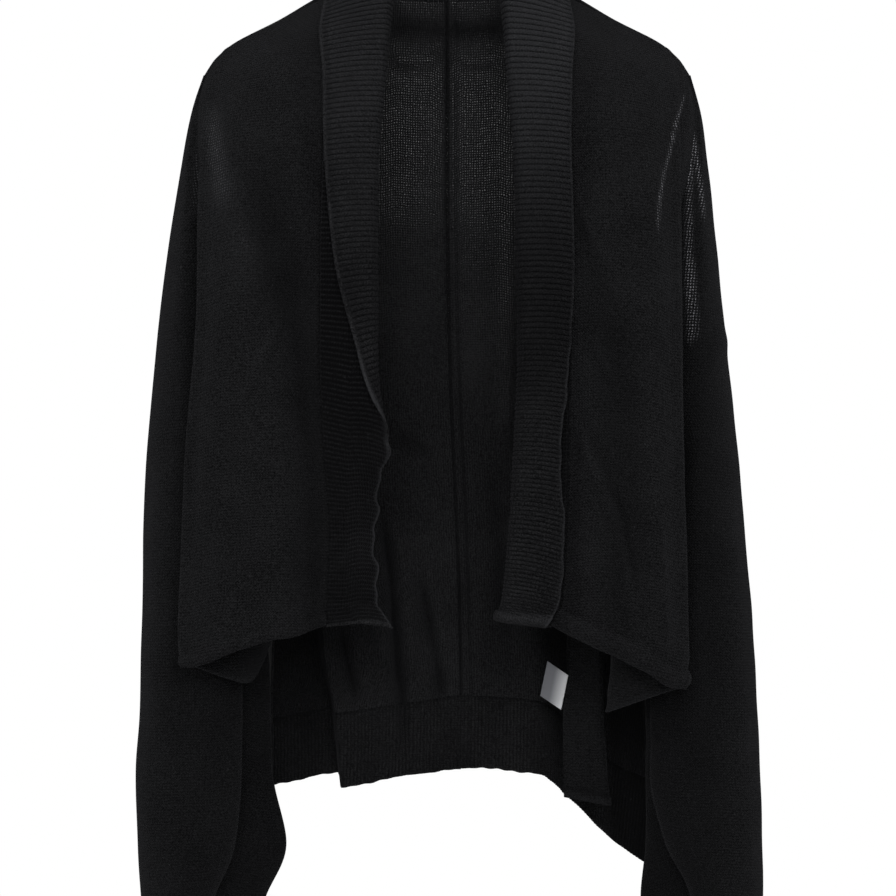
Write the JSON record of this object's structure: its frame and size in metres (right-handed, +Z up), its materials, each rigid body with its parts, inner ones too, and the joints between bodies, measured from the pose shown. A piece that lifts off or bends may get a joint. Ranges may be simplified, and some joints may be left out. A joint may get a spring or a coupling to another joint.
{
  "type": "cardigan",
  "caption": "Open-front cardigan in fine black knit with a wide turned-back ribbed band, dropped long sleeves and a ribbed back hem, hollow as worn and held at the neck.",
  "frame": {"origin": "the point between the two shoulder points of the neck, where the garment is held up", "axes": "+Z up, the front faces -Y, the wearer's left is +X"},
  "size_m": [0.521, 0.1994, 0.8495],
  "materials": {
    "knit": "fine plain knit in black, matt, slightly see-through where it is a single layer",
    "hem_rib": "fine vertical rib in black, matt",
    "band_rib": "rib in black that runs across the band, matt",
    "label": "plain white woven label, blank"
  },
  "bodies": {
    "root": {"front_left": "knit", "front_right": "knit", "back_left": "knit", "back_right": "knit", "hem_rib_left": "hem_rib", "hem_rib_right": "hem_rib", "sleeve_upper_left": "knit", "sleeve_upper_right": "knit", "sleeve_lower_left": "knit", "sleeve_lower_right": "knit", "band_left": "band_rib", "band_right": "band_rib", "side_pleat": "knit", "care_label": "label"}
  },
  "joints": []
}
